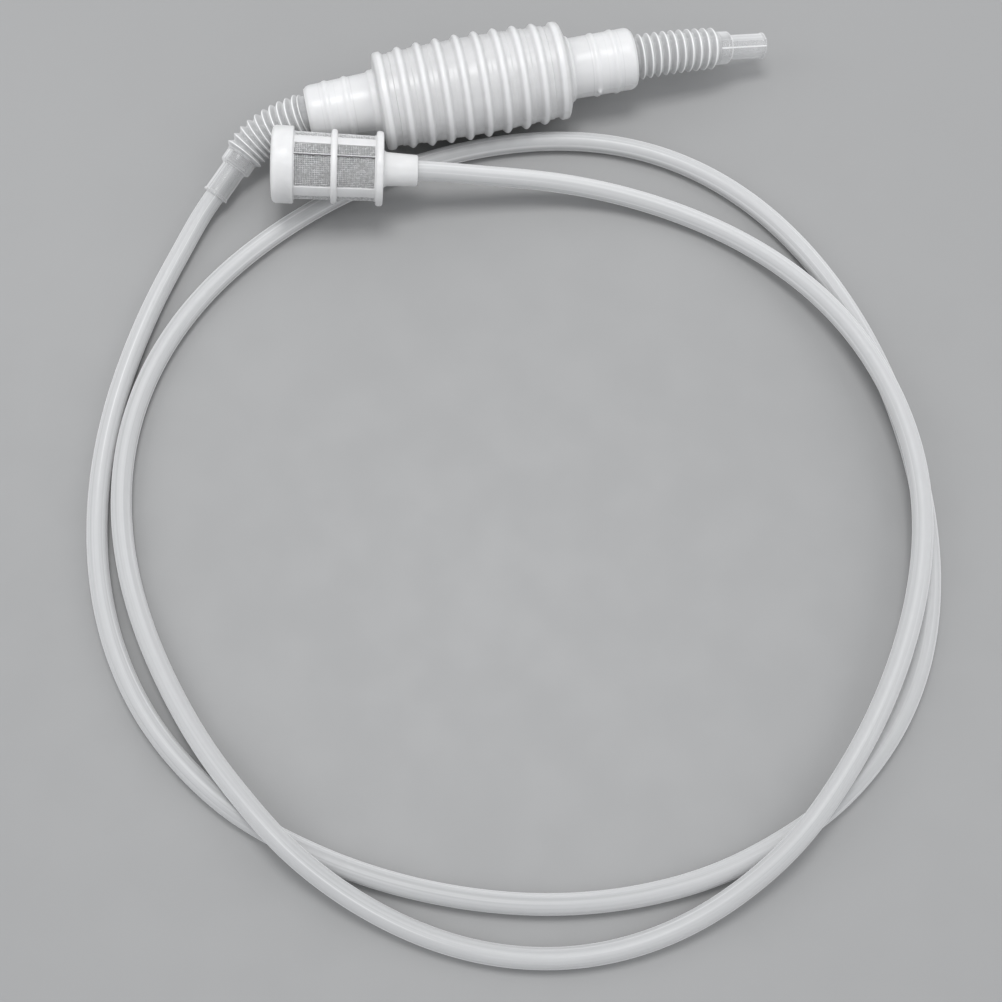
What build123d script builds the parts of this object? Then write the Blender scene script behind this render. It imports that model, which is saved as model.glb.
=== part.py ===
from build123d import *
import math
import os

# Siphon bulb pump: squeeze bulb with two check valves, two flexible corrugated
# tubes, a coiled hose and an intake strainer.  Millimetres, +Z up, the coil lies
# on the XY plane, origin at the centre of the footprint.
# Profile points are (distance along the piece's axis, radius) throughout.

# ---------------------------------------------------------------- dimensions
# squeeze bulb
bulb_centre = (-16.37, 160.61, 21.5)
bulb_yaw = 11.4                          # bulb axis against +X, degrees
rib_pitch = 8.055
rib_count = 10
rib_half_w = 1.75
crest_r_end, crest_r_mid = 19.9, 21.5    # ring-rib radius at the ends and the middle
rib_h_end, rib_h_mid = 1.3, 1.75         # rib height at the ends and the middle
swell_half = 36.25                       # distance over which the swell of the ribs fades
bulb_wall = 1.2
bulb_half = 38.9                         # half length of the ribbed barrel
shoulder_r = 13.5
neck_end = 68.9                          # distance from bulb centre to each neck end
neck_bore_r = 10.4
neck_hole_r = 8.2
groove_depth = 0.4                       # grooves in the neck bore, round the valve barbs
panel_half = 34.0                        # half length of the squeezable walls
panel_z = 3.0                            # the walls start this far from the parting plane
slit = 0.04                              # gap round each squeezable wall
cut_width, cut_height = 50, 25           # block that cuts out the squeezable walls

# check valves
valve_offset = 66.0                      # bulb centre to each valve's outer shoulder
valve_len = 16.0
valve_r, valve_bore_r = 10.38, 8.6
barb_r = 10.76
insert_r = valve_bore_r - 0.02           # seat and cage, held in the housing bore
seat_h, seat_gap = 2.6, 0.04             # seat height, gap between its lip and the disc
disc_r, disc_t = 7.2, 1.5
stem_r, stem_len = 1.2, 7.5
spider_t, guide_h = 2.0, 1.4             # cage spider and the stem guide standing on it
guide_bore_r = 1.25

# flexible tubes and their stubs
inlet_end = (-112.36, 132.77, 11.2)      # where the inlet cuff starts
inlet_end_dir = (-0.561801, -0.802572, -0.200643)
inlet_start_slope = -0.25
inlet_pull = 38.0                        # tangent length at both ends of the inlet curve
inlet_steps = 400                        # chords along the inlet curve
inlet_stub_len = 19.4
outlet_flex_len = 36.6
outlet_droop = 11.0                      # degrees over the outlet flexible tube
outlet_stub_len = 21.2
flex_crests = 10
flex_wall = 0.6
flex_overlap = 2.6                       # length of tube inside the neck
first_crest = 3.2                        # neck end to the first crest
inlet_last_crest, outlet_last_crest = 2.2, 2.6   # last crest to the cuff
root_r_neck, root_r_cuff = 7.75, 7.0
crest_r_neck, crest_r_cuff = 9.3, 8.5
cuff_r, stub_r, lip_r = 6.7, 5.1, 5.4
stub_hole_r = 3.3

# hose
hose_r, hose_bore_r = 3.97, 3.0
hose_runs = 8
socket_r = 4.0                           # bore of both stubs and of the strainer socket
hose_grip = 12.5                         # hose length inside the strainer socket
stub_grip = 14.0                         # hose length inside the inlet stub
outlet_socket_depth = 15.2

# intake strainer, lengths measured from the socket mouth towards the cap
boss_end = (-38.06, 120.02, 22.7)        # mouth of the strainer socket
strainer_dir = (0.994099, 0.010001, -0.108011)   # from the cap towards the socket mouth
front_tilt = 31.0                        # front window, degrees from up towards -Y
boss_len = 14.0
flange_t, flange_r = 3.0, 14.95
flange_end = boss_len + flange_t
cage_r_flange, cage_r_cap = 13.2, 13.8
cage_bore_r = 12.6
cage_floor = boss_len + 2.4
cage_len = 56.0                          # socket mouth to the open end of the cage
ring_r = 14.9
ring_start, ring_end = 32.5, 35.1
window_end = 49.6
rib_angles = (51.5, 128.5, 231.5, 311.0)
rib_spans = (19.0, 19.0, 19.0, 24.0)     # degrees, one for each rib
cap_start, cap_end, cap_r = 50.0, 59.3, 15.4
mesh_r, mesh_t = 12.55, 0.35

# centre line of the hose from the strainer socket to the inlet stub: x, y, z
hose_points = [
    (-13.05, 120.57, 18.32), (9.44, 121, 13.69), (31.97, 119.69, 9.4), (54.27, 115.29, 6.39),
    (75.89, 107.59, 5.02), (96.03, 96.51, 5.45), (113.92, 82.15, 7.42), (129.18, 65.04, 9.92),
    (141.6, 45.68, 11.71), (150.89, 24.52, 12.44), (156.5, 2.09, 12.59), (158.01, -20.92, 12.6),
    (155.51, -43.85, 12.6), (149.74, -66.2, 12.6), (141.33, -87.66, 12.6), (130.69, -108.09, 12.57),
    (118.02, -127.33, 12.42), (103.45, -145.28, 11.85), (86.39, -160.54, 8.96), (67.08, -172.96, 6.03),
    (45.7, -181.78, 4.49), (22.94, -186.28, 4.06), (-0.25, -186.2, 4.02), (-22.99, -181.71, 4.27),
    (-44.51, -173.36, 5.55), (-64.36, -161.94, 8.62), (-82.24, -147.8, 12.01), (-98.13, -131.24, 10.69),
    (-112.7, -113.79, 7.08), (-125.46, -94.79, 4.91), (-136.37, -74.53, 4.15), (-145.01, -53.16, 4.01),
    (-150.77, -30.8, 4), (-153.07, -7.78, 4), (-151.41, 15.33, 4), (-145.53, 37.72, 4),
    (-135.61, 58.61, 4), (-122.25, 77.45, 4), (-106.17, 93.96, 4), (-88.14, 108.3, 4),
    (-68.66, 120.56, 4), (-26.4, 138.22, 4), (-3.95, 143.24, 4), (18.97, 145.19, 4),
    (41.96, 143.48, 4), (64.23, 137.43, 4), (84.87, 127.04, 4), (103.2, 112.94, 4),
    (118.86, 95.93, 4), (131.89, 76.88, 4), (142.46, 56.4, 4), (150.71, 34.88, 4),
    (156.7, 12.65, 4), (160.44, -10.06, 4), (161.77, -33.07, 4), (160.16, -56.1, 4),
    (154.96, -78.67, 4), (145.6, -99.91, 4), (132.17, -118.87, 4), (115.32, -134.86, 4),
    (95.84, -147.41, 4), (74.96, -157.3, 4), (52.82, -163.84, 4), (30.04, -167.37, 4),
    (7.04, -168.07, 4), (-15.89, -166.12, 4), (-38.49, -161.81, 4), (-60.52, -155.2, 4),
    (-81.78, -146.29, 4), (-101.9, -135.01, 4), (-119.7, -120.23, 4), (-134.89, -102.78, 4),
    (-146.76, -82.91, 4), (-155.08, -61.33, 4), (-159.96, -38.75, 4), (-161.75, -15.77, 4),
    (-160.79, 7.23, 4), (-157.32, 29.95, 4), (-151.67, 52.19, 4.05), (-144.17, 74.13, 4.2),
    (-134.8, 95.98, 4.72),
]

# ---------------------------------------------------------------- directions
yaw = math.radians(bulb_yaw)
flow = Vector(math.cos(yaw), math.sin(yaw), 0)          # along the bulb, inlet to outlet
side = Vector(-math.sin(yaw), math.cos(yaw), 0)
up = Vector(0, 0, 1)
centre = Vector(*bulb_centre)
bulb_plane = Plane(origin=centre, x_dir=flow, z_dir=up)  # local X along the bulb axis
bulb_axis = Axis(centre, flow)


def write(piece, name):
    piece.part.label = name
    export_step(piece.part, "parts/" + name + ".step")


def revolved(plane, profile):
    """Closed profile turned about the plane's local X."""
    with BuildPart() as piece:
        with BuildSketch(plane):
            with BuildLine():
                Polyline(*profile, close=True)
            make_face()
        revolve(axis=Axis(plane.origin, plane.x_dir))
    return piece


# ---------------------------------------------------------------- squeeze bulb
mid_rib = (rib_count - 1) / 2
end_rib_s = mid_rib * rib_pitch          # the two end ribs are broad, with a flat top


def rib(k, inset):
    """Start, top and end of ring rib k; inset moves it in by a wall thickness."""
    s = (k - mid_rib) * rib_pitch
    swell = 1 - (s / swell_half) ** 2
    top = crest_r_end + (crest_r_mid - crest_r_end) * swell - inset
    foot = top - (rib_h_end + (rib_h_mid - rib_h_end) * swell)
    return (s - rib_half_w, foot), (s, top), (s + rib_half_w, foot)


def draw_ribbed_skin(inset, half_length, end_radius):
    """Add the ribs between the broad ones, and the lines joining them, to the open BuildLine."""
    last = (-half_length, end_radius)
    for k in range(1, rib_count - 1):
        start, top, end = rib(k, inset)
        Line(last, start)
        ThreePointArc(start, top, end)
        last = end
    Line(last, (half_length, end_radius))


def end_rib(inset):
    """Broad rib at the outlet end, from its foot to the shoulder."""
    top = crest_r_end - inset
    foot = top - rib_h_end
    return [
        (end_rib_s - rib_half_w, foot), (end_rib_s - 1.1, foot + 0.75),
        (end_rib_s - 0.3, top), (end_rib_s + 1.3, top),
    ]


def bulb_end(r_near, r_far, r_tip, outer_shoulder, inner_shoulder):
    """Outlet end: outer skin from the broad rib to the neck's end, then the inner skin back."""
    def neck_r(fraction, raised=0.0):
        return r_near + (r_far - r_near) * fraction + raised

    outer = end_rib(0) + [
        (bulb_half - 0.5, crest_r_end - 0.3), (bulb_half, crest_r_end - 1.0),
        (outer_shoulder, shoulder_r), (41.9, 13.35), (42.6, r_near),
        (50.6, neck_r(0.33)), (51.4, neck_r(0.36, 0.45)),
        (52.4, neck_r(0.40, 0.45)), (53.2, neck_r(0.43)),
        (58.8, neck_r(0.68)), (59.6, neck_r(0.72, 0.42)),
        (60.6, neck_r(0.76, 0.42)), (61.4, neck_r(0.80)),
        (66.6, r_far), (67.9, r_far - 0.45), (68.6, r_far - 1.2), (neck_end, r_tip),
        (neck_end, neck_hole_r),
    ]
    groove_r = neck_bore_r + groove_depth
    inner = [
        (neck_end - 1.6, neck_hole_r), (neck_end - 2.85, neck_bore_r),
        (61.2, neck_bore_r), (60.9, groove_r), (59.3, groove_r), (59.0, neck_bore_r),
        (53.0, neck_bore_r), (52.7, groove_r), (51.1, groove_r), (50.8, neck_bore_r),
        (47.0, neck_bore_r), (45.5, r_near - bulb_wall),
        (inner_shoulder, shoulder_r - bulb_wall), (38.0, crest_r_end - 2.2),
    ]
    return outer + inner + end_rib(bulb_wall)[::-1]


def build_bulb_shell():
    outlet_half = bulb_end(12.35, 12.6, 11.2, outer_shoulder=40.9, inner_shoulder=40.0)
    inlet_half = bulb_end(12.6, 11.6, 10.4, outer_shoulder=39.6, inner_shoulder=38.5)
    with BuildPart() as shell:
        with BuildSketch(bulb_plane):
            with BuildLine():
                Polyline(*outlet_half)
                Polyline(*[(-s, r) for s, r in inlet_half])
                for inset in (0, bulb_wall):
                    draw_ribbed_skin(inset, end_rib_s - rib_half_w, crest_r_end - inset - rib_h_end)
            make_face()
        revolve(axis=bulb_axis)
        # openings for the upper and lower squeezable walls
        for sign in (1, -1):
            cut_origin = centre + up * (sign * (panel_z - slit))
            with BuildSketch(Plane(origin=cut_origin, x_dir=flow, z_dir=up)):
                Rectangle(2 * (panel_half + slit), cut_width)
            extrude(amount=sign * cut_height, mode=Mode.SUBTRACT)
    return shell


def build_squeeze_wall(sign):
    """Squeezable wall above (1) or below (-1) the parting plane."""
    outer_foot, inner_foot = [rib(1, inset)[0][1] for inset in (0, bulb_wall)]
    with BuildPart() as wall:
        with BuildSketch(bulb_plane):
            with BuildLine():
                draw_ribbed_skin(0, panel_half, outer_foot)
                draw_ribbed_skin(bulb_wall, panel_half, inner_foot)
                for s in (-panel_half, panel_half):
                    Line((s, outer_foot), (s, inner_foot))
            make_face()
        revolve(axis=bulb_axis)
        with BuildSketch(Plane(origin=centre + up * (sign * panel_z), x_dir=flow, z_dir=up)):
            Rectangle(2 * panel_half + 2, cut_width)
        extrude(amount=sign * cut_height, mode=Mode.INTERSECT)
    return wall


# ---------------------------------------------------------------- check valves
# each valve is built along its axis, from the outer end of its neck towards the
# bulb; facing is 1 where the disc opens towards the bulb, -1 where it opens away
housing_profile = [
    (-2.5, 5.6), (-2.5, 6.6), (-2.1, 6.82), (0, 6.82), (0, valve_r - 0.4), (0.4, valve_r),
    (5.1, valve_r), (5.5, barb_r), (6.3, barb_r), (6.7, valve_r),
    (13.3, valve_r), (13.7, barb_r), (14.5, barb_r), (14.9, valve_r),
    (valve_len - 0.4, valve_r), (valve_len, valve_r - 0.4), (valve_len, valve_bore_r),
    (2.0, valve_bore_r), (2.0, 5.6),
]
seat_profile = [
    (0, 4.6), (0, insert_r), (2.0, insert_r), (2.0, 5.7),
    (seat_h, 5.4), (seat_h, 4.9), (2.2, 4.6),
]
# disc with its guide stem, sealing face at 0
disc_profile = [
    (0, 0), (0, disc_r - 0.3), (0.3, disc_r), (disc_t - 0.4, disc_r), (disc_t, disc_r - 0.5),
    (disc_t, stem_r), (stem_len - 0.3, stem_r), (stem_len, stem_r - 0.3), (stem_len, 0),
]


def placed(profile, start, facing):
    return [(start + facing * s, r) for s, r in profile]


def build_valve_cage(origin, direction, spider_start, guide_start):
    """Ring with three spokes and a hub, plus the stem guide on the hub."""
    def square_plane(distance):
        return Plane(origin=origin + direction * distance, x_dir=side, z_dir=direction)

    with BuildPart() as cage:
        with BuildSketch(square_plane(spider_start)):
            Circle(insert_r)
            Circle(7.4, mode=Mode.SUBTRACT)
            with PolarLocations(4.9, 3):
                Rectangle(5.6, 1.6)
            Circle(2.7)
            Circle(guide_bore_r, mode=Mode.SUBTRACT)
        extrude(amount=spider_t)
        with BuildSketch(square_plane(guide_start)):
            Circle(2.5)
            Circle(guide_bore_r, mode=Mode.SUBTRACT)
        extrude(amount=guide_h)
    return cage


def write_valve(name, direction, facing, seat_start, spider_start):
    origin = centre - direction * valve_offset
    plane = Plane(origin=origin, x_dir=direction, z_dir=up)
    disc_start = seat_start + facing * (seat_h + seat_gap)
    guide_start = spider_start + (spider_t if facing > 0 else -guide_h)
    write(revolved(plane, housing_profile), name + "_housing")
    write(revolved(plane, placed(seat_profile, seat_start, facing)), name + "_seat")
    write(revolved(plane, placed(disc_profile, disc_start, facing)), name + "_disc")
    write(build_valve_cage(origin, direction, spider_start, guide_start), name + "_cage")


# ---------------------------------------------------------------- flexible tubes
def hermite(p0, t0, p1, t1, pull, u):
    """Point at u (0 to 1) on the curve from p0 to p1 with end directions t0 and t1."""
    from_p0 = 2 * u ** 3 - 3 * u ** 2 + 1
    from_t0 = u ** 3 - 2 * u ** 2 + u
    from_p1 = -2 * u ** 3 + 3 * u ** 2
    from_t1 = u ** 3 - u ** 2
    return p0 * from_p0 + t0 * (from_t0 * pull) + p1 * from_p1 + t1 * (from_t1 * pull)


inlet_p0 = centre - flow * neck_end
inlet_t0 = (flow * -1 + up * inlet_start_slope).normalized()
inlet_p1 = Vector(*inlet_end)
inlet_t1 = Vector(*inlet_end_dir).normalized()
inlet_curve = [
    hermite(inlet_p0, inlet_t0, inlet_p1, inlet_t1, inlet_pull, n / inlet_steps)
    for n in range(inlet_steps + 1)
]
inlet_s = [0.0]                          # length along the curve at each of its points
for n in range(inlet_steps):
    inlet_s.append(inlet_s[-1] + (inlet_curve[n + 1] - inlet_curve[n]).length)
inlet_flex_len = inlet_s[-1]

outlet_p0 = centre + flow * neck_end
bend_r = outlet_flex_len / math.radians(outlet_droop)


def inlet_at(x):
    """Point and direction on the inlet centre line; x < 0 runs back into the neck."""
    if x <= 0:
        return inlet_p0 - flow * x, flow * -1
    if x >= inlet_flex_len:
        return inlet_p1, inlet_t1
    n = max(i for i in range(inlet_steps) if inlet_s[i] <= x)
    fraction = (x - inlet_s[n]) / (inlet_s[n + 1] - inlet_s[n])
    point = inlet_curve[n] * (1 - fraction) + inlet_curve[n + 1] * fraction
    before, after = max(0, n - 2), min(inlet_steps, n + 3)
    return point, (inlet_curve[after] - inlet_curve[before]).normalized()


def outlet_at(x):
    """Point and direction on the outlet centre line; x < 0 runs back into the neck."""
    if x <= 0:
        return outlet_p0 + flow * x, flow
    angle = x / bend_r
    drop = up * (bend_r * (1 - math.cos(angle)))
    point = outlet_p0 + flow * (bend_r * math.sin(angle)) - drop
    return point, flow * math.cos(angle) - up * math.sin(angle)


def corrugation(length, last_crest, shrink, half_crest, half_root):
    """Sections (distance, radius) of a corrugated skin; half widths are shares of the pitch."""
    end_r = root_r_neck - shrink * 1.42
    sections = [(-flex_overlap, end_r), (0.0, end_r)]
    crest_run = length - first_crest - last_crest
    pitch = crest_run / (flex_crests - 1)
    for k in range(flex_crests):
        fraction = k / (flex_crests - 1)
        x = first_crest + crest_run * fraction
        root = root_r_neck + (root_r_cuff - root_r_neck) * fraction - shrink
        crest = crest_r_neck + (crest_r_cuff - crest_r_neck) * fraction - shrink
        sections += [
            (x - half_root * pitch, root), (x - half_crest * pitch, crest),
            (x + half_crest * pitch, crest), (x + half_root * pitch, root),
        ]
    sections.append((length, cuff_r - shrink))
    return sections


def build_bellows(centre_line, length, last_crest):
    skins = (                            # shrink, half crest, half root, mode
        (0.0, 0.13, 0.34, Mode.ADD),
        (flex_wall, 0.10, 0.37, Mode.SUBTRACT),
    )
    with BuildPart() as bellows:
        for shrink, half_crest, half_root, mode in skins:
            for x, radius in corrugation(length, last_crest, shrink, half_crest, half_root):
                point, tangent = centre_line(x)
                x_dir = up.cross(tangent).normalized()
                with BuildSketch(Plane(origin=point, x_dir=x_dir, z_dir=tangent)):
                    Circle(radius)
            loft(ruled=True, mode=mode)
    return bellows


def build_stub(origin, direction, length, socket_depth):
    """Cuff and stub, with the hose socket open at the far end."""
    plane = Plane(origin=origin, x_dir=direction, z_dir=direction.cross(side).normalized())
    return revolved(plane, [
        (0, cuff_r - 0.6), (0, cuff_r - 0.1), (0.3, cuff_r), (4.6, cuff_r), (5.2, cuff_r - 0.5),
        (5.5, stub_r + 0.35), (6.1, stub_r), (length - 1.3, stub_r), (length - 0.9, lip_r),
        (length - 0.2, lip_r), (length, lip_r - 0.25), (length, socket_r),
        (length - socket_depth, socket_r), (length - socket_depth, stub_hole_r),
        (4.9, stub_hole_r), (4.3, 4.9), (3.6, cuff_r - 0.7),
    ])


# ---------------------------------------------------------------- hose
strainer_d = Vector(*strainer_dir).normalized()
socket_mouth = Vector(*boss_end)


def build_hose():
    hose_start = socket_mouth - strainer_d * hose_grip
    hose_end = inlet_p1 + inlet_t1 * inlet_stub_len - inlet_t1 * stub_grip
    # closely spaced points keep both ends straight
    with BuildLine() as hose_path:
        Spline(
            *[hose_start + strainer_d * k for k in (0, 3, 6, 9, 12, 15, 18)],
            *[Vector(*point) for point in hose_points],
            *[hose_end + inlet_t1 * k for k in (18.5, 15.5, 12, 9, 6, 3, 0)],
        )
    hose_edge = hose_path.line.edges()[0]

    with BuildPart() as hose:
        for k in range(hose_runs):       # runs lie end to end
            run = hose_edge.trim(k / hose_runs, (k + 1) / hose_runs)
            with BuildSketch(Plane(origin=run @ 0, z_dir=run % 0)):
                Circle(hose_r)
                Circle(hose_bore_r, mode=Mode.SUBTRACT)
            sweep(path=run)
    return hose


# ---------------------------------------------------------------- intake strainer
# built from the socket mouth towards the cap
cap_dir = strainer_d * -1
strainer_up = (up - cap_dir * up.dot(cap_dir)).normalized()   # up, square to the strainer axis
across = cap_dir.cross(strainer_up).normalized()
strainer_axis = Axis(socket_mouth, cap_dir)
strainer_profile_plane = Plane(origin=socket_mouth, x_dir=cap_dir, z_dir=across)
tilt = math.radians(front_tilt)
tilted = strainer_up * math.cos(tilt) - Vector(0, 1, 0) * math.sin(tilt)
front = (tilted - cap_dir * tilted.dot(cap_dir)).normalized()


def strainer_plane(distance):
    """Plane square to the strainer axis; local X points at the front window."""
    return Plane(origin=socket_mouth + cap_dir * distance, x_dir=front, z_dir=cap_dir)


def wall_r(distance):
    fraction = (distance - flange_end) / (cage_len - flange_end)
    return cage_r_flange + (cage_r_cap - cage_r_flange) * fraction


def polar(radius, angle):
    return radius * math.cos(angle), radius * math.sin(angle)


def build_filter_cage():
    cage_profile = [
        # socket boss
        (0, socket_r + 0.25), (0, 5.7), (0.6, 6.25), (boss_len - 1.6, 6.8),
        (boss_len - 0.6, 7.2), (boss_len, 8.0),
        # flange
        (boss_len, flange_r - 0.9), (boss_len + 0.35, flange_r - 0.25),
        (boss_len + 1.0, flange_r), (boss_len + 2.0, flange_r),
        (boss_len + 2.65, flange_r - 0.25), (flange_end, flange_r - 0.9),
        # wall with its middle ring
        (flange_end, wall_r(flange_end)), (ring_start, wall_r(ring_start)),
        (ring_start + 0.1, ring_r - 0.7), (ring_start + 0.45, ring_r - 0.15),
        (ring_start + 1.0, ring_r), (ring_end - 1.0, ring_r),
        (ring_end - 0.45, ring_r - 0.15), (ring_end - 0.1, ring_r - 0.7),
        (ring_end, wall_r(ring_end)), (cage_len, wall_r(cage_len)),
        # bore, floor and hose socket
        (cage_len, cage_bore_r), (cage_floor, cage_bore_r), (cage_floor, 3.1),
        (hose_grip + 0.1, 3.1), (hose_grip + 0.1, socket_r), (0.25, socket_r),
    ]
    with BuildPart() as cage:
        with BuildSketch(strainer_profile_plane):
            with BuildLine():
                Polyline(*cage_profile, close=True)
            make_face()
        revolve(axis=strainer_axis)
        # windows: between neighbouring ribs, on both sides of the middle ring
        for start, end in ((flange_end + 0.6, ring_start), (ring_end, window_end)):
            with BuildSketch(strainer_plane(start)):
                for n in range(4):
                    turn = 360 if n == 0 else 0
                    a0 = math.radians(rib_angles[n - 1] + rib_spans[n - 1] / 2)
                    a1 = math.radians(rib_angles[n] - rib_spans[n] / 2 + turn)
                    middle = (a0 + a1) / 2
                    with BuildLine():
                        Polyline(
                            polar(8, a0), polar(22, a0), polar(26, middle),
                            polar(22, a1), polar(8, a1), polar(8, middle),
                            close=True,
                        )
                    make_face()
            extrude(amount=end - start, mode=Mode.SUBTRACT)
    return cage


def build_filter_mesh():
    with BuildPart() as mesh:
        with BuildSketch(strainer_plane(cage_floor + 0.1)):
            Circle(mesh_r)
            Circle(mesh_r - mesh_t, mode=Mode.SUBTRACT)
        extrude(amount=cage_len - boss_len - 2.9)
    return mesh


def build_filter_cap():
    crown_start = cap_end - 2.2
    skirt_bore_r = cage_r_cap + 0.06
    with BuildPart() as cap:
        with BuildSketch(strainer_profile_plane):
            with BuildLine():
                skirt = Polyline(
                    (crown_start, 0), (crown_start, 12.8), (cage_len + 0.1, skirt_bore_r),
                    (cap_start + 0.4, skirt_bore_r), (cap_start, cage_r_cap + 0.3),
                    (cap_start, cap_r - 0.7), (cap_start + 0.7, cap_r), (crown_start, cap_r),
                )
                crown = Spline(
                    (crown_start, cap_r), (cap_end - 1.0, cap_r - 0.9),
                    (cap_end - 0.35, 11.5), (cap_end - 0.08, 6.0), (cap_end, 0),
                )
                Line(crown @ 1, skirt @ 0)
            make_face()
        revolve(axis=strainer_axis)
    return cap


# ---------------------------------------------------------------- build and write
os.makedirs("parts", exist_ok=True)

write(build_bulb_shell(), "bulb_shell")
write(build_squeeze_wall(1), "bulb_upper_wall")
write(build_squeeze_wall(-1), "bulb_lower_wall")

write_valve("inlet_valve", flow, facing=1, seat_start=2.02, spider_start=8.8)
write_valve("outlet_valve", flow * -1, facing=-1, seat_start=15.8, spider_start=7.0)

write(build_bellows(inlet_at, inlet_flex_len, inlet_last_crest), "inlet_bellows")
write(build_bellows(outlet_at, outlet_flex_len, outlet_last_crest), "outlet_bellows")
write(build_stub(inlet_p1, inlet_t1, inlet_stub_len, stub_grip + 0.1), "inlet_stub")
outlet_p1, outlet_t1 = outlet_at(outlet_flex_len)
write(build_stub(outlet_p1, outlet_t1, outlet_stub_len, outlet_socket_depth), "outlet_spout")

write(build_hose(), "hose")

write(build_filter_cage(), "filter_cage")
write(build_filter_mesh(), "filter_mesh")
write(build_filter_cap(), "filter_cap")
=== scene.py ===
"""Hand siphon pump lying on a studio floor, +Z up, floor just under z = 0.

A ribbed squeeze bulb lies level along FLOW, turned a little from +X. Its inlet neck points towards -X
and takes a corrugated tube, a sleeve and a long clear hose coiled flat round the origin, which ends in
a caged strainer. Its outlet neck points towards +X and takes a corrugated tube with a spout tip.
Dimensions are in millimetres and become metres when a mesh is made.
"""
import math
from collections import namedtuple

import bmesh
import bpy
import numpy as np
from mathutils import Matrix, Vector


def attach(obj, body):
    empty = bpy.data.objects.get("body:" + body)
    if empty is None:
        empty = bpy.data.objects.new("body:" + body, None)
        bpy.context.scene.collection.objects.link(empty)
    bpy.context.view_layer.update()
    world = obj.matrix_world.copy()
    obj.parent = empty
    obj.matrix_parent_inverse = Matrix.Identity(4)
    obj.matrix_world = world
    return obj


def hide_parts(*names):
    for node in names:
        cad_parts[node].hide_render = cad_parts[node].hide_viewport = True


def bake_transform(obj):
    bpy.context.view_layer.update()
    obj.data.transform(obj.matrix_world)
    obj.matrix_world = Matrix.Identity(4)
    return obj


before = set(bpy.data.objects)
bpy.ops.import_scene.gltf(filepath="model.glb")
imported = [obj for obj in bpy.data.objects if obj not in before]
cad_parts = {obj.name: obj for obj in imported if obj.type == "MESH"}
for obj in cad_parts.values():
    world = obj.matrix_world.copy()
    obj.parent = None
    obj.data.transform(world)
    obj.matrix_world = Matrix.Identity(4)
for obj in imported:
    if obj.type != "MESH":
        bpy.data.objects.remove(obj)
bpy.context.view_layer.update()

MM = 0.001


def unit(vector):
    return vector / np.linalg.norm(vector)


def square_to(vector, axis):
    """Unit vector: the part of 'vector' at right angles to 'axis'."""
    return unit(vector - axis * float(vector @ axis))


def smooth(t):
    t = np.clip(t, 0.0, 1.0)
    return t * t * (3 - 2 * t)


# ------------------------------------------------------------------ driving dimensions (mm)
# Squeeze bulb: s runs from CENTRE along FLOW, towards the outlet.
YAW = math.radians(11.4)
CENTRE = np.array([-16.37, 160.61, 21.5])
FLOW = np.array([math.cos(YAW), math.sin(YAW), 0.0])
SIDE = np.array([-math.sin(YAW), math.cos(YAW), 0.0])
UP = np.array([0.0, 0.0, 1.0])
PITCH, RIBS = 8.055, 10
END_RIB = PITCH * (RIBS - 1) / 2            # s of the last rib
BARREL_EDGE = END_RIB + 0.2                 # s where the barrel meets the shoulders
RIB_SPREAD = 36.25                          # s over which the ribs shrink
END_CREST_R, CREST_RISE = 19.9, 1.6
END_RIB_H, RIB_H_RISE = 1.3, 0.45
BARREL_END, SHOULDER_R, WALL = 38.9, 13.5, 1.2
NECK_END, NECK_HOLE, NECK_BORE = 68.9, 8.2, 10.4

# Corrugated tubes: x runs from the bulb's neck outwards.
FLEX_PLUG = 2.6                             # length inside the neck
FLEX_WALL = 0.6
FOLD_GAPS = 9                               # gaps between the first and last fold
FIRST_FOLD = 3.2
LOW_FOLD, LOW_FOLD_HALF = 1.25, 0.85        # place and half width of the low fold by the neck
INLET_END = np.array([-112.36, 132.77, 11.2])
INLET_DIR = unit(np.array([-0.561801, -0.802572, -0.200643]))
OUTLET_LEN, OUTLET_BEND = 36.6, math.radians(11.0)

SLEEVE_LEN, SLEEVE_GRIP = 19.4, 14.1
SPOUT_LEN, SPOUT_GRIP = 21.2, 15.2

HOSE_R, HOSE_BORE_R = 3.97, 3.0
HOSE_IN_SLEEVE, HOSE_IN_SOCKET = 14.0, 12.5

# Strainer: w runs from the hose socket's mouth to the cap, angles in degrees from FRONT.
SOCKET_MOUTH = np.array([-38.06, 120.02, 22.7])
HOSE_DIR = unit(np.array([0.994099, 0.010001, -0.108011]))
W_DIR = -HOSE_DIR
FRONT_TILT = math.radians(31)
FRONT = square_to(square_to(UP, W_DIR) * math.cos(FRONT_TILT)
                  - np.array([0.0, 1.0, 0.0]) * math.sin(FRONT_TILT), W_DIR)
SQUARE = np.cross(W_DIR, FRONT)
CAGE_BORE = 12.6
CAP_END, CAP_R, CAP_BORE = 59.3, 15.4, 13.86

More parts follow.
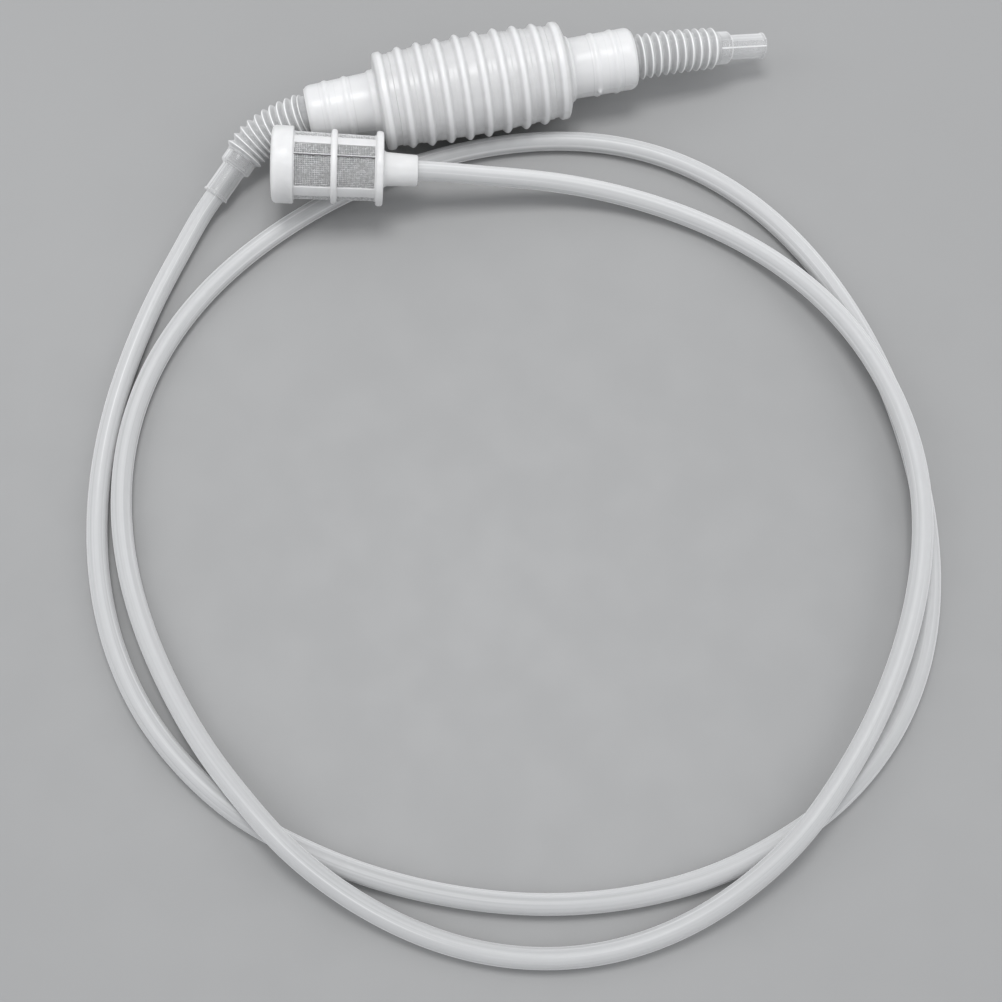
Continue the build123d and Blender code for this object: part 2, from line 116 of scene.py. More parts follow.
# Points x, y, z on the hose's centre line, from the strainer to the inlet sleeve.
HOSE = [
    (-13.05, 120.57, 18.32), (9.44, 121, 13.69), (31.97, 119.69, 9.4), (54.27, 115.29, 6.39),
    (75.89, 107.59, 5.02), (96.03, 96.51, 5.45), (113.92, 82.15, 7.42), (129.18, 65.04, 9.92),
    (141.6, 45.68, 11.71), (150.89, 24.52, 12.44), (156.5, 2.09, 12.59), (158.01, -20.92, 12.6),
    (155.51, -43.85, 12.6), (149.74, -66.2, 12.6), (141.33, -87.66, 12.6), (130.69, -108.09, 12.57),
    (118.02, -127.33, 12.42), (103.45, -145.28, 11.85), (86.39, -160.54, 8.96),
    (67.08, -172.96, 6.03), (45.7, -181.78, 4.49), (22.94, -186.28, 4.06), (-0.25, -186.2, 4.02),
    (-22.99, -181.71, 4.27), (-44.51, -173.36, 5.55), (-64.36, -161.94, 8.62),
    (-82.24, -147.8, 12.01), (-98.13, -131.24, 10.69), (-112.7, -113.79, 7.08),
    (-125.46, -94.79, 4.91), (-136.37, -74.53, 4.15), (-145.01, -53.16, 4.01), (-150.77, -30.8, 4),
    (-153.07, -7.78, 4), (-151.41, 15.33, 4), (-145.53, 37.72, 4), (-135.61, 58.61, 4),
    (-122.25, 77.45, 4), (-106.17, 93.96, 4), (-88.14, 108.3, 4), (-68.66, 120.56, 4),
    (-26.4, 138.22, 4), (-3.95, 143.24, 4), (18.97, 145.19, 4), (41.96, 143.48, 4),
    (64.23, 137.43, 4), (84.87, 127.04, 4), (103.2, 112.94, 4), (118.86, 95.93, 4),
    (131.89, 76.88, 4), (142.46, 56.4, 4), (150.71, 34.88, 4), (156.7, 12.65, 4),
    (160.44, -10.06, 4), (161.77, -33.07, 4), (160.16, -56.1, 4), (154.96, -78.67, 4),
    (145.6, -99.91, 4), (132.17, -118.87, 4), (115.32, -134.86, 4), (95.84, -147.41, 4),
    (74.96, -157.3, 4), (52.82, -163.84, 4), (30.04, -167.37, 4), (7.04, -168.07, 4),
    (-15.89, -166.12, 4), (-38.49, -161.81, 4), (-60.52, -155.2, 4), (-81.78, -146.29, 4),
    (-101.9, -135.01, 4), (-119.7, -120.23, 4), (-134.89, -102.78, 4), (-146.76, -82.91, 4),
    (-155.08, -61.33, 4), (-159.96, -38.75, 4), (-161.75, -15.77, 4), (-160.79, 7.23, 4),
    (-157.32, 29.95, 4), (-151.67, 52.19, 4.05), (-144.17, 74.13, 4.2), (-134.8, 95.98, 4.72),
]


# ------------------------------------------------------------------ mesh helpers
def rounded(points, reach, closed=True):
    """Replaces each corner of a profile by a small arc that starts 'reach' before it."""
    pieces, least_turn = 3, 12.0
    points = [np.array(p, float) for p in points]
    out, count = [], len(points)
    for i, corner in enumerate(points):
        if not closed and i in (0, count - 1):
            out.append(corner)
            continue
        back, ahead = points[i - 1] - corner, points[(i + 1) % count] - corner
        len_back, len_ahead = np.linalg.norm(back), np.linalg.norm(ahead)
        back, ahead = back / len_back, ahead / len_ahead
        turn = math.degrees(math.acos(max(-1, min(1, -float(back @ ahead)))))
        if turn < least_turn:
            out.append(corner)
            continue
        cut = min(reach, 0.45 * len_back, 0.45 * len_ahead)
        start, end = corner + back * cut, corner + ahead * cut
        for k in range(pieces + 1):
            t = k / pieces
            out.append(start * (1 - t) ** 2 + corner * 2 * t * (1 - t) + end * t * t)
    return out


def resampled(points, longest, closed=True):
    """Cuts long profile segments so that none is longer than 'longest'."""
    out, count = [], len(points)
    for i in range(count if closed else count - 1):
        start, end = points[i], points[(i + 1) % count]
        parts = max(1, int(math.ceil(np.linalg.norm(end - start) / longest)))
        out += [start + (end - start) * (j / parts) for j in range(parts)]
    if not closed:
        out.append(points[-1])
    return out


def straight(origin, direction):
    return lambda x: (origin + direction * x, direction)


def turned(radius, angle, x):
    """Straightened coordinates of a point round an axis."""
    return (math.cos(angle) * radius, math.sin(angle) * radius, x)


def ring_angles(count):
    return np.arange(count) * (2 * math.pi / count)


def ring_faces(rows, count, whole=True, skip=lambda row, i: False):
    """Quads between the rows of a closed profile, each row having 'count' points round the axis."""
    faces = []
    for k in range(rows):
        this, following = k * count, (k + 1) % rows * count
        for i in range(count if whole else count - 1):
            i2 = (i + 1) % count
            if not skip(k, i):
                faces.append((this + i, this + i2, following + i2, following + i))
    return faces


def build(name, verts, faces, coords, sharp, merge=0.0, crests=None):
    """A smooth shaded mesh object from points in mm. 'tc' holds its straightened coordinates."""
    mesh = bpy.data.meshes.new(name)
    scaled = np.asarray(verts, float) * MM
    mesh.from_pydata([tuple(p) for p in scaled], [], [tuple(int(i) for i in f) for f in faces])
    att = mesh.attributes.new("tc", "FLOAT_VECTOR", "POINT")
    att.data.foreach_set("vector", (np.asarray(coords, float) * MM).astype(np.float32).ravel())
    if crests is not None:
        att = mesh.attributes.new("crest", "FLOAT", "POINT")
        att.data.foreach_set("value", np.asarray(crests, np.float32))
    edit = bmesh.new()
    edit.from_mesh(mesh)
    if merge:
        bmesh.ops.remove_doubles(edit, verts=edit.verts, dist=merge * MM)
    bmesh.ops.recalc_face_normals(edit, faces=edit.faces)
    edit.to_mesh(mesh)
    edit.free()
    mesh.polygons.foreach_set("use_smooth", [True] * len(mesh.polygons))
    mesh.set_sharp_from_angle(angle=math.radians(sharp))
    mesh.update()
    piece = bpy.data.objects.new(name, mesh)
    bpy.context.scene.collection.objects.link(piece)
    return piece


def lathe(name, profile, axis, reference, angles, sharp, whole=True, shape=None, crest=None,
          merge=0.0005):
    """Turns a closed profile of (distance, radius) round a straight or curved axis.

    A part turn has its two cut faces closed. shape(x, angle, radius) may change a point's radius.
    """
    verts, coords = [], []
    for x, radius in profile:
        point, along = axis(x)
        across = square_to(reference, along)
        third = np.cross(along, across)
        for angle in angles:
            reach = shape(x, angle, radius) if shape else radius
            verts.append(point + (across * math.cos(angle) + third * math.sin(angle)) * reach)
            coords.append(turned(reach, angle, x))
    rows, count = len(profile), len(angles)
    faces = ring_faces(rows, count, whole)
    if not whole:
        faces.append([k * count for k in range(rows)])
        faces.append([k * count + count - 1 for k in range(rows)][::-1])
    crests = [crest(x) for x, _ in profile for _ in angles] if crest else None
    return build(name, verts, faces, coords, sharp, merge, crests)


# ------------------------------------------------------------------ materials
class Nodes:
    def __init__(self, name):
        self.mat = bpy.data.materials.new(name)
        self.mat.use_nodes = True
        self.tree = self.mat.node_tree
        self.tree.nodes.clear()
        self.out = self.tree.nodes.new("ShaderNodeOutputMaterial")

    def new(self, kind, **props):
        node = self.tree.nodes.new(kind)
        for key, value in props.items():
            setattr(node, key, value)
        return node

    def put(self, socket, value):
        if isinstance(value, bpy.types.NodeSocket):
            self.tree.links.new(value, socket)
        else:
            socket.default_value = value

    def math(self, operation, first, second=0.5, clamp=False):
        node = self.new("ShaderNodeMath", operation=operation, use_clamp=clamp)
        self.put(node.inputs[0], first)
        self.put(node.inputs[1], second)
        return node.outputs[0]

    def times(self, first, second):
        return self.math("MULTIPLY", first, second)

    def minus(self, first, second):
        return self.math("SUBTRACT", first, second)

    def span(self, value, low, high, out=(0.0, 1.0)):
        """out[0] below low, out[1] above high, smooth between."""
        node = self.new("ShaderNodeMapRange", interpolation_type="SMOOTHSTEP")
        self.put(node.inputs["Value"], value)
        for key, number in zip(("From Min", "From Max", "To Min", "To Max"), (low, high, *out)):
            self.put(node.inputs[key], number)
        return node.outputs["Result"]

    def mix(self, factor, first, second):
        node = self.new("ShaderNodeMix", data_type="RGBA")
        self.put(node.inputs[0], factor)
        self.put(node.inputs[6], first)
        self.put(node.inputs[7], second)
        return node.outputs[2]

    def tint(self, base, mask, amount, colour):
        """Lays 'colour' over 'base' where 'mask' is, at 'amount' of full strength."""
        return self.mix(self.times(mask, amount), base, colour)

    def attribute(self, name, output):
        return self.new("ShaderNodeAttribute", attribute_name=name).outputs[output]

    def coords(self):
        return self.attribute("tc", "Vector")

    def object_coords(self):
        return self.new("ShaderNodeTexCoord").outputs["Object"]

    def noise(self, vector, scale, detail=3.0, rough=0.5, distortion=0.0, stretch=None):
        """Noise; 'stretch' scales the vector's z, so a small one draws it out along the piece."""
        if stretch is not None:
            mapping = self.new("ShaderNodeMapping", vector_type="POINT")
            self.put(mapping.inputs["Vector"], vector)
            mapping.inputs["Scale"].default_value = (1, 1, stretch)
            vector = mapping.outputs["Vector"]
        node = self.new("ShaderNodeTexNoise")
        self.put(node.inputs["Vector"], vector)
        node.inputs["Scale"].default_value = scale
        node.inputs["Detail"].default_value = detail
        node.inputs["Roughness"].default_value = rough
        node.inputs["Distortion"].default_value = distortion
        return node.outputs["Fac"]

    def roughness(self, vector, scale, out):
        noise = self.noise(vector, scale, detail=3, rough=0.6)
        return self.span(noise, low=0.3, high=0.7, out=out)

    def split(self, vector):
        node = self.new("ShaderNodeSeparateXYZ")
        self.put(node.inputs[0], vector)
        return node.outputs

    def facing(self, blend):
        node = self.new("ShaderNodeLayerWeight")
        node.inputs["Blend"].default_value = blend
        return node.outputs["Facing"]

    def bump(self, height, strength, distance, normal=None):
        node = self.new("ShaderNodeBump")
        node.inputs["Strength"].default_value = strength
        node.inputs["Distance"].default_value = distance
        self.put(node.inputs["Height"], height)
        if normal is not None:
            self.put(node.inputs["Normal"], normal)
        return node.outputs["Normal"]

    def principled(self, **sockets):
        node = self.new("ShaderNodeBsdfPrincipled")
        for key, value in sockets.items():
            self.put(node.inputs[key.replace("_", " ")], value)
        self.tree.links.new(node.outputs[0], self.out.inputs["Surface"])


def grey(value, warm=0.0):
    return (value * (1 + warm), value, value * (1 - warm), 1.0)


def bulb_material():
    mat = Nodes("bulb_polyethylene")
    coords = mat.coords()
    x, y, z = mat.split(coords)
    radial = mat.math("SQRT", mat.math("ADD", mat.times(x, x), mat.times(y, y)))
    # cloudy wall thickness of a blow moulding, and faint streaks drawn along it
    cloud = mat.noise(coords, scale=70, detail=4, rough=0.55, distortion=0.4, stretch=0.6)
    streak = mat.noise(coords, scale=260, detail=3, rough=0.5, stretch=0.07)
    # ribs catch more light than the valleys between them
    ribs_along = mat.math("DIVIDE", mat.minus(z, 0.5 * PITCH * MM), PITCH * MM)
    wave = mat.math("COSINE", mat.times(ribs_along, 2 * math.pi))
    barrel = mat.span(radial, low=15.5 * MM, high=17.5 * MM)
    crest = mat.times(mat.span(wave, low=0.45, high=0.98), barrel)
    base = mat.mix(mat.span(cloud, low=0.3, high=0.72), grey(0.70, 0.004), grey(0.77, 0.004))
    base = mat.tint(base, mat.span(streak, low=0.5, high=0.8), amount=0.25, colour=grey(0.82))
    base = mat.tint(base, crest, amount=0.50, colour=grey(0.88))
    neck = mat.minus(1.0, barrel)
    base = mat.tint(base, neck, amount=0.45, colour=grey(0.78))
    # the valve housing inside each neck shows faintly through the wall
    from_middle = mat.math("DIVIDE", mat.math("ABSOLUTE", z), MM)
    housed = mat.times(mat.span(from_middle, low=49.6, high=50.3),
                       mat.span(from_middle, low=67.6, high=68.4, out=(1.0, 0.0)))
    base = mat.tint(base, mat.times(housed, neck), amount=0.22, colour=grey(0.90))
    # dark rings on the housing: place, half width, strength
    for place, half_width, amount in ((49.7, 0.45, 0.22), (56.4, 0.30, 0.10), (62.7, 0.35, 0.16)):
        distance = mat.math("ABSOLUTE", mat.minus(from_middle, place))
        ring = mat.times(mat.span(distance, low=0.0, high=half_width, out=(1.0, 0.0)), neck)
        base = mat.tint(base, ring, amount, colour=grey(0.45))
    rough = mat.roughness(coords, scale=420, out=(0.28, 0.35))
    peel = mat.bump(mat.noise(coords, scale=700, detail=2), strength=0.07, distance=0.0002)
    waves = mat.bump(mat.noise(coords, scale=120, detail=2, stretch=0.5),
                     strength=0.16, distance=0.0006, normal=peel)
    # side walls are thinner than ribs and necks, so more shows through them
    thin = mat.minus(1.0, mat.math("MAXIMUM", crest, neck))
    opacity = mat.minus(1.0, mat.times(thin, 0.10))
    mat.principled(Base_Color=base, Roughness=rough, IOR=1.5, Normal=waves,
                   Alpha=mat.times(opacity, 0.93), Subsurface_Weight=0.35,
                   Subsurface_Radius=(1.0, 1.0, 0.95), Subsurface_Scale=0.0035)
    return mat.mat


def white_material():
    mat = Nodes("strainer_polypropylene")
    coords = mat.coords()
    cloud = mat.noise(coords, scale=60, detail=4, rough=0.55, distortion=0.5)
    base = mat.mix(mat.span(cloud, low=0.3, high=0.7), grey(0.69, 0.003), grey(0.76, 0.003))
    flow = mat.noise(coords, scale=220, detail=3, rough=0.5, distortion=0.6, stretch=0.12)
    base = mat.tint(base, mat.span(flow, low=0.52, high=0.8), amount=0.35, colour=grey(0.82))
    rough = mat.roughness(coords, scale=500, out=(0.30, 0.42))
    grain = mat.bump(mat.noise(coords, scale=1500, detail=2), strength=0.12, distance=0.00012)
    waves = mat.bump(mat.noise(coords, scale=160, detail=2),
                     strength=0.25, distance=0.0003, normal=grain)
    mat.principled(Base_Color=base, Roughness=rough, IOR=1.49, Normal=waves,
                   Subsurface_Weight=0.4, Subsurface_Radius=(1.0, 1.0, 0.95),
                   Subsurface_Scale=0.0025)
    return mat.mat


def clear_material(name, dark, light, opacity, rough_range, streaks, folds=False, coat=0.2,
                   mottle=0.2, draw=0.0, specular=0.6, power=1.7, parting=0.0):
    """Translucent soft plastic: clearer face on, denser at a grazing view and painted lighter there as
    a rim highlight.

    dark, light: greys face on and at the edge; opacity: the same pair for alpha; streaks: scale of
    the extrusion lines; power: how tightly the edge tone hugs the edge; mottle, draw, parting:
    strength of the haze, the die lines and the parting line.
    """
    mat = Nodes(name)
    coords = mat.coords()
    edge = mat.math("POWER", mat.facing(blend=0.42), power)
    lines = mat.noise(coords, scale=streaks, detail=3, rough=0.55, stretch=0.012)
    haze = mat.noise(coords, scale=90, detail=4, rough=0.55, distortion=0.3, stretch=0.25)
    # lighter towards the edge: partly denser plastic, partly a painted rim highlight
    base = mat.mix(edge, dark, light)
    base = mat.tint(base, mat.span(lines, low=0.5, high=0.74), amount=0.45, colour=grey(0.92))
    base = mat.tint(base, mat.span(haze, low=0.5, high=0.85), amount=mottle, colour=grey(0.80))
    if draw:                                # dark and light lines left by the extrusion die
        fine = mat.noise(coords, scale=720, detail=2, rough=0.6, stretch=0.004)
        dark_lines = mat.span(fine, low=0.30, high=0.47, out=(0.42 * draw, 0.0))
        base = mat.mix(dark_lines, base, grey(0.42))
        light_lines = mat.span(fine, low=0.54, high=0.68, out=(0.0, 0.75 * draw))
        base = mat.mix(light_lines, base, grey(0.97))
    alpha = mat.math("ADD", mat.span(edge, low=0.0, high=0.8, out=opacity),
                     mat.times(mat.minus(haze, 0.5), 0.8 * mottle), clamp=True)
    if parting:                             # line left where the mould halves meet
        x, y, _ = mat.split(coords)
        line_angle = 0.62
        off_line = mat.math("ABSOLUTE", mat.minus(mat.math("ARCTAN2", y, x), line_angle))
        line = mat.span(off_line, low=0.03, high=0.09, out=(parting, 0.0))
        base = mat.mix(line, base, grey(0.95))
        alpha = mat.math("MAXIMUM", alpha, mat.times(line, 0.9))
    if folds:                               # a fold is seen through two walls, so it is denser; its crest is also painted lighter as a highlight
        crest = mat.span(mat.attribute("crest", "Fac"), low=0.05, high=0.8)
        base = mat.tint(base, crest, amount=0.8, colour=grey(0.93))
        alpha = mat.math("MAXIMUM", alpha, mat.times(crest, 0.95))
    rough = mat.roughness(coords, scale=380, out=rough_range)
    ridges = mat.bump(lines, strength=0.25, distance=0.0003)
    grain = mat.bump(mat.noise(coords, scale=900, detail=2),
                     strength=0.06, distance=0.0001, normal=ridges)
    mat.principled(Base_Color=base, Roughness=rough, IOR=1.5, Normal=grain, Alpha=alpha,
                   Specular_IOR_Level=specular, Coat_Weight=coat, Coat_Roughness=0.1,
                   Sheen_Weight=0.35, Sheen_Roughness=0.35)
    return mat.mat


def gauze_material():
    mat = Nodes("strainer_nylon_gauze")
    coords = mat.coords()
    fleck = mat.noise(coords, scale=900, detail=2, rough=0.6)
    blot = mat.noise(coords, scale=150, detail=3, rough=0.6, distortion=0.5)
    base = mat.mix(mat.span(fleck, low=0.35, high=0.7), grey(0.47), grey(0.78))
    base = mat.tint(base, mat.span(blot, low=0.45, high=0.75), amount=0.5, colour=grey(0.84))
    # wires of tone 1 are light; wires of tone 0 are dark, painted shade for the gap beside the seam
    tone = mat.attribute("crest", "Fac")
    base = mat.mix(mat.span(tone, low=0.7, high=0.9), base, grey(0.88))
    base = mat.mix(mat.span(tone, low=0.1, high=0.3, out=(1.0, 0.0)), base, grey(0.12))
    rough = mat.span(fleck, low=0.3, high=0.7, out=(0.30, 0.5))
    mat.principled(Base_Color=base, Roughness=rough, IOR=1.52,
                   Normal=mat.bump(fleck, strength=0.25, distance=0.00005))
    return mat.mat


def valve_material(name, dark, light, rough_range):
    mat = Nodes(name)
    coords = mat.object_coords()
    cloud = mat.noise(coords, scale=130, detail=3, rough=0.5, distortion=0.4)
    base = mat.mix(mat.span(cloud, low=0.3, high=0.7), dark, light)
    rough = mat.roughness(coords, scale=600, out=rough_range)
    grain = mat.bump(mat.noise(coords, scale=1400, detail=2), strength=0.12, distance=0.0001)
    mat.principled(Base_Color=base, Roughness=rough, IOR=1.5, Normal=grain,
                   Subsurface_Weight=0.1, Subsurface_Radius=(1, 1, 1), Subsurface_Scale=0.001)
    return mat.mat


MAT_BULB = bulb_material()
MAT_WHITE = white_material()
MAT_HOSE = clear_material("hose_vinyl", dark=grey(0.66, -0.004), light=grey(0.97),
                          opacity=(0.66, 0.98), rough_range=(0.36, 0.46), streaks=420, coat=0.0,
                          mottle=0.04, draw=0.9, specular=0.45)
MAT_CLEAR = clear_material("spout_vinyl", dark=grey(0.62, -0.004), light=grey(1.0),
                           opacity=(0.28, 0.99), rough_range=(0.10, 0.18), streaks=300,
                           mottle=0.1, power=1.15, parting=0.8)
MAT_FOLDS = clear_material("flexible_tube_vinyl", dark=grey(0.58, -0.004), light=grey(0.94),
                           opacity=(0.46, 0.93), rough_range=(0.12, 0.20), streaks=240,
                           folds=True)
MAT_GAUZE = gauze_material()
MAT_VALVE = valve_material("valve_polypropylene", dark=grey(0.84), light=grey(0.91),
                           rough_range=(0.32, 0.45))
MAT_RUBBER = valve_material("valve_silicone", dark=grey(0.62, 0.01), light=grey(0.72, 0.01),
                            rough_range=(0.45, 0.6))


def dress(piece, mat):
    piece.data.materials.append(mat)


def finish_rigid(piece, mat, body, node):
    dress(piece, mat)
    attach(piece, body)
    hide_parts(node)


# ------------------------------------------------------------------ squeeze bulb, two mould halves
def crest_r(s):
    return END_CREST_R + CREST_RISE * (1 - (s / RIB_SPREAD) ** 2)


def rib_h(s):
    return END_RIB_H + RIB_H_RISE * (1 - (s / RIB_SPREAD) ** 2)


def barrel_r(s):
    """Radius of the barrel: rounded ribs with a gentle run-out, and a broad rib at each end."""
    rib = round(s / PITCH - 0.5) + 0.5
    if abs(rib) > RIBS / 2 - 1:
        height = rib_h(END_RIB)
        run_out = max(0.0, END_RIB - 0.4 - abs(s)) / 1.6
        return crest_r(END_RIB) - height + height * float(1 - smooth(run_out))
    middle = rib * PITCH
    height = rib_h(middle)
    t = min(1.0, abs(s - middle) / 2.15)
    return crest_r(middle) - height + height * (1 - t * t) ** 1.35


def neck_outside(near_r, far_r, tip_r, shoulder):
    """(s, radius) of the outside from the barrel's edge to the neck's mouth, with two ridges."""
    def taper(t):
        return near_r + (far_r - near_r) * t

    return [
        (BARREL_EDGE, END_CREST_R), (END_RIB + 1.3, END_CREST_R), (BARREL_END - 0.5, 19.6),
        (BARREL_END, 18.9), (shoulder, SHOULDER_R), (41.9, 13.35), (42.6, near_r),
        (50.6, taper(0.33)), (51.4, taper(0.36) + 0.5), (52.4, taper(0.40) + 0.5),
        (53.2, taper(0.43)), (58.8, taper(0.68)), (59.6, taper(0.72) + 0.46),
        (60.6, taper(0.76) + 0.46), (61.4, taper(0.80)), (66.6, far_r), (67.9, far_r - 0.45),
        (68.6, far_r - 1.2), (NECK_END, tip_r), (NECK_END, NECK_HOLE),
    ]


def neck_inside(near_r, shoulder):
    """(s, radius) of the inside from the neck's mouth back to the barrel, with two grooves."""
    groove = NECK_BORE + 0.4
    return [
        (NECK_END - 1.6, NECK_HOLE), (NECK_END - 2.85, NECK_BORE), (61.2, NECK_BORE),
        (60.9, groove), (59.3, groove), (59.0, NECK_BORE), (53.0, NECK_BORE),
        (52.7, groove), (51.1, groove), (50.8, NECK_BORE), (47.0, NECK_BORE),
        (45.5, near_r - WALL), (shoulder, SHOULDER_R - WALL), (38.0, END_CREST_R - 2.2),
        (BARREL_EDGE, END_CREST_R - WALL),
    ]


def bulb_profile():
    """Closed outline of the bulb's wall: barrel outside, outlet neck, barrel inside, inlet neck."""
    outlet = neck_outside(12.35, 12.6, 11.2, shoulder=40.9) + neck_inside(12.35, shoulder=40.0)
    inlet = neck_outside(12.6, 11.6, 10.4, shoulder=39.6) + neck_inside(12.6, shoulder=38.5)
    inlet = [(-s, radius) for s, radius in inlet][::-1]
    outlet, inlet = [resampled(rounded(end, reach=0.55, closed=False), longest=0.9, closed=False)
                     for end in (outlet, inlet)]
    stations = np.linspace(-BARREL_EDGE, BARREL_EDGE, 240)[1:-1]
    outside = [(s, barrel_r(s)) for s in stations]
    inside = [(s, barrel_r(s) - WALL) for s in stations[::-1]]
    return outside + outlet + inside + inlet


def is_outer(s, radius):
    """True on the outside skin of the bulb wall, for radii above the neck's bore."""
    distance = abs(s)
    if distance <= 36.4:
        return radius > barrel_r(s) - 0.6
    if distance < 40:
        return radius > 18.4 or radius > END_CREST_R - (distance - 36.0) * 1.3
    return distance >= 46 or radius > 11.9


def bulb_shape(s, angle, radius):
    if radius < 11.3 or not is_outer(s, radius):
        return radius
    side_gap = abs(math.sin(angle)) * radius if abs(math.cos(angle)) > 0.9 else 9.0
    radius += 0.16 * math.exp(-((side_gap / 0.28) ** 2))    # mould parting flash
    if math.cos(angle) < 0:                                 # gate nib on the outlet neck ridge
        radius += 0.95 * math.exp(-(((s - 52.0) / 0.95) ** 2) - (side_gap / 1.1) ** 2)
    return radius


def half_angles(start):
    """Angles over half a turn, close together by the parting line."""
    fine = [0, 0.5, 1.2, 2.2, 3.6, 5.4]
    degrees = fine + list(np.linspace(8, 172, 50)) + [180 - f for f in fine[::-1]]
    return [math.radians(start + d) for d in degrees]


def bulb_half(name, start, panel):
    """Angles run from SIDE towards UP."""
    piece = lathe(name, bulb_profile(), straight(CENTRE, FLOW), SIDE, half_angles(start),
                  sharp=50, whole=False, shape=bulb_shape)
    dress(piece, MAT_BULB)
    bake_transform(piece)
    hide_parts("bulb_shell", panel)


bulb_half("bulb_upper_half", 0, "bulb_upper_wall")
bulb_half("bulb_lower_half", 180, "bulb_lower_wall")

# ------------------------------------------------------------------ flexible corrugated tubes
# axis gives (point, direction) at x; last_fold is the distance of the last fold from the far end
Flex = namedtuple("Flex", "axis length last_fold low_fold")
CURVE_STEPS = 400


def hermite_curve(start, start_dir, end, end_dir, pull):
    """Points on a cubic curve and their distance along it."""
    t = np.linspace(0, 1, CURVE_STEPS + 1)[:, None]
    points = (start * (2 * t**3 - 3 * t**2 + 1) + start_dir * pull * (t**3 - 2 * t**2 + t)
              + end * (-2 * t**3 + 3 * t**2) + end_dir * pull * (t**3 - t**2))
    return points, chord_lengths(points)


def chord_lengths(points):
    steps = np.linalg.norm(np.diff(points, axis=0), axis=1)
    return np.concatenate([[0.0], np.cumsum(steps)])


INLET_START = CENTRE - FLOW * NECK_END
inlet_points, inlet_dist = hermite_curve(INLET_START, unit(-FLOW - 0.25 * UP),
                                         INLET_END, INLET_DIR, pull=38.0)
INLET_LEN = float(inlet_dist[-1])


def inlet_axis(x):
    if x <= 0:
        return INLET_START - FLOW * x, -FLOW
    if x >= INLET_LEN:
        return INLET_END, INLET_DIR
    i = int(np.searchsorted(inlet_dist, x, "right") - 1)
    t = (x - inlet_dist[i]) / (inlet_dist[i + 1] - inlet_dist[i])
    before, after = max(0, i - 2), min(CURVE_STEPS, i + 3)
    point = inlet_points[i] * (1 - t) + inlet_points[i + 1] * t
    return point, unit(inlet_points[after] - inlet_points[before])


OUTLET_START = CENTRE + FLOW * NECK_END


def outlet_axis(x):
    """An arc bending down from the neck."""
    if x <= 0:
        return OUTLET_START + FLOW * x, FLOW
    bend_r = OUTLET_LEN / OUTLET_BEND
    angle = x / bend_r
    point = (OUTLET_START + FLOW * (bend_r * math.sin(angle))
             - UP * (bend_r * (1 - math.cos(angle))))
    return point, FLOW * math.cos(angle) - UP * math.sin(angle)


def fold(distance):
    """Height of a fold, 0 to 1: rounded crest, straight flanks, short flat valley."""
    top, foot, bend = 0.16, 0.80, 0.85
    drop = distance**2 / (2 * top) if distance < top else distance - top / 2
    t = min(1.0, drop / (foot - top / 2))
    if t >= bend:
        t = bend + (1 - bend) * math.sin((t - bend) / (1 - bend) * math.pi / 2)
    return 1 - t


def nearest_fold(tube, x):
    """Number of the fold nearest x, the distance to it and the pitch of the folds."""
    pitch = (tube.length - FIRST_FOLD - tube.last_fold) / FOLD_GAPS
    k = min(FOLD_GAPS, max(0, round((x - FIRST_FOLD) / pitch)))
    return k, abs(x - (FIRST_FOLD + pitch * k)), pitch


def flex_r(tube, x):
    """Corrugated radius: narrow rounded crests, wider valleys, both shrinking outwards."""
    k, distance, pitch = nearest_fold(tube, x)
    end_start = tube.length - tube.last_fold + 0.5 * pitch
    if x > end_start:                       # plain end
        return 7.0 - 0.25 * (x - end_start) / (tube.length - end_start)
    root, crest = 7.75 - 0.75 * k / FOLD_GAPS, 9.3 - 0.8 * k / FOLD_GAPS
    height = 0.0 if x < FIRST_FOLD - 0.5 * pitch else fold(distance / (0.5 * pitch))
    if tube.low_fold:
        height = max(height, 0.62 * fold(abs(x - LOW_FOLD) / LOW_FOLD_HALF))
    return root + (crest - root) * height


def flex_crest(tube, x):
    """1 on the crest of a fold, 0 away from it."""
    _, distance, pitch = nearest_fold(tube, x)
    crest = 1 - distance / (0.19 * pitch)
    if tube.low_fold:
        crest = max(crest, 1 - abs(x - LOW_FOLD) / 0.4)
    return max(0.0, crest)


def flex_half(name, tube, start, end):
    stations = np.linspace(start, end, int((end - start) / 0.15) + 2)
    outer = [(x, flex_r(tube, x)) for x in stations]
    inner = [(x, flex_r(tube, x) - FLEX_WALL) for x in stations[::-1]]
    return lathe(name, outer + inner, tube.axis, UP, ring_angles(64), sharp=60,
                 crest=lambda x: flex_crest(tube, x))


def blend_along(piece):
    """Reads the 'tc' coordinates, which hold the distance along the tube's own centre line; nothing is
    done with them.
    """
    data = np.zeros(len(piece.data.vertices) * 3, np.float32)
    piece.data.attributes["tc"].data.foreach_get("vector", data)


def flex_tube(tube, prefix, far_side, far_body, toward_pump):
    """Two halves that meet at the middle of the tube; toward_pump reverses a list of end points that
    is not used.
    """
    middle, link, rim, gap = tube.length * 0.5, f"{prefix}_link", 0.5, 0.2
    halves = (
        # side, mesh start, near and far body, near and far x, unblended margins at both ends
        ("pump", -FLEX_PLUG, "pump", link, 0.0, middle, rim, gap),
        (far_side, middle, link, far_body, middle, tube.length, gap, rim),
    )
    for side, start, near_body, outer_body, near, far, near_margin, far_margin in halves:
        piece = flex_half(f"{prefix}_flex_{side}_side", tube, start, far)
        dress(piece, MAT_FOLDS)
        ends = [(near_body, tuple(tube.axis(near)[0] * MM)),
                (outer_body, tuple(tube.axis(far)[0] * MM))]
        if toward_pump:
            ends.reverse()
        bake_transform(piece)
        blend_along(piece)
        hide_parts(f"{prefix}_bellows")


flex_tube(Flex(inlet_axis, INLET_LEN, last_fold=2.2, low_fold=True),
          "inlet", "hose", "hose_coil", toward_pump=True)
flex_tube(Flex(outlet_axis, OUTLET_LEN, last_fold=2.6, low_fold=False),
          "outlet", "spout", "spout", toward_pump=False)


